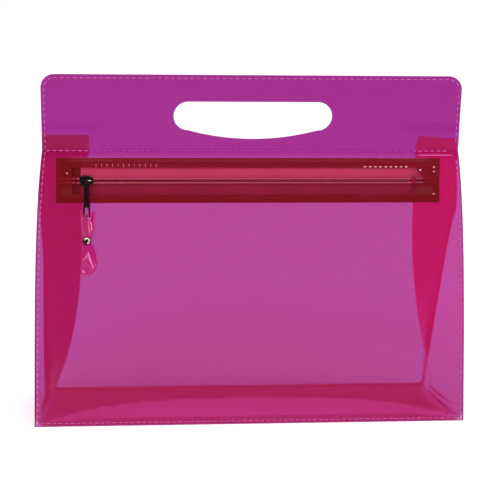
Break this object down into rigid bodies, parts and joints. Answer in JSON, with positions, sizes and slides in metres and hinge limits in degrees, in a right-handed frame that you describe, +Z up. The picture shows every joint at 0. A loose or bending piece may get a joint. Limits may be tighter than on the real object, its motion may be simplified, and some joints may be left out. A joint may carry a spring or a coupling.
{
  "type": "clear vinyl zip case",
  "caption": "Clear tinted vinyl case with a die-cut hand slot, a coil zip in the front, folded side gussets and an open base it stands on.",
  "frame": {"origin": "centre of the footprint, on the surface that the case stands on", "axes": "+X along the zip, from the slider's end to the bottom stop; -Y out of the front panel; +Z up"},
  "size_m": [0.2738, 0.0656, 0.218],
  "materials": {
    "vinyl": "clear magenta PVC sheet, glossy",
    "vinyl_gusset": "clear magenta PVC sheet, glossy, folded",
    "vinyl_strap": "clear magenta PVC strip, glossy",
    "zip_tape": "woven red polyester tape",
    "zip_coil": "red nylon coil and stops, satin",
    "black_nickel": "black nickel plate, polished",
    "thread": "pink polyester sewing thread"
  },
  "bodies": {
    "gusset": {"gusset_strip": "vinyl_gusset"},
    "front": {"front_panel": "vinyl", "zip_tape_upper": "zip_tape", "zip_tape_lower": "zip_tape", "zip_coil_upper": "zip_coil", "zip_coil_lower": "zip_coil", "zip_top_stop_upper": "zip_coil", "zip_top_stop_lower": "zip_coil", "zip_bottom_stop": "zip_coil", "front_seam_thread": "thread", "top_hem_thread": "thread", "cross_seam_thread": "thread", "zip_window_thread": "thread"},
    "back": {"back_panel": "vinyl", "back_seam_thread": "thread"},
    "slider": {"slider_body": "black_nickel", "slider_crown": "black_nickel"},
    "puller": {"puller_tab": "black_nickel"},
    "strap": {"pull_strap": "vinyl_strap", "rivet_cap": "black_nickel", "rivet_post": "black_nickel"}
  },
  "joints": [
    {"name": "front_panel_fold", "type": "hinge", "parent": "gusset", "child": "front", "pos_m": [0, 0, 0.1705], "axis": [1, 0, 0], "range_deg": [0, 9.5], "deforming": ["gusset_strip"]},
    {"name": "back_panel_fold", "type": "hinge", "parent": "gusset", "child": "back", "pos_m": [0, 0, 0.1705], "axis": [-1, 0, 0], "range_deg": [0, 9.5], "deforming": ["gusset_strip"]},
    {"name": "zip_slide", "type": "slide", "parent": "front", "child": "slider", "axis": [1, 0, 0], "range_m": [0, 0.199]},
    {"name": "puller_lift", "type": "hinge", "parent": "slider", "child": "puller", "pos_m": [-0.1038, -0.00928, 0.15296], "axis": [-1, 0, 0], "range_deg": [0, 130]},
    {"name": "strap_swing", "type": "hinge", "parent": "puller", "child": "strap", "pos_m": [-0.1038, -0.01157, 0.13047], "axis": [-1, 0, 0], "range_deg": [0, 60]}
  ],
  "couplings": [
    {"joint": "back_panel_fold", "follows": "front_panel_fold", "ratio": 1}
  ]
}
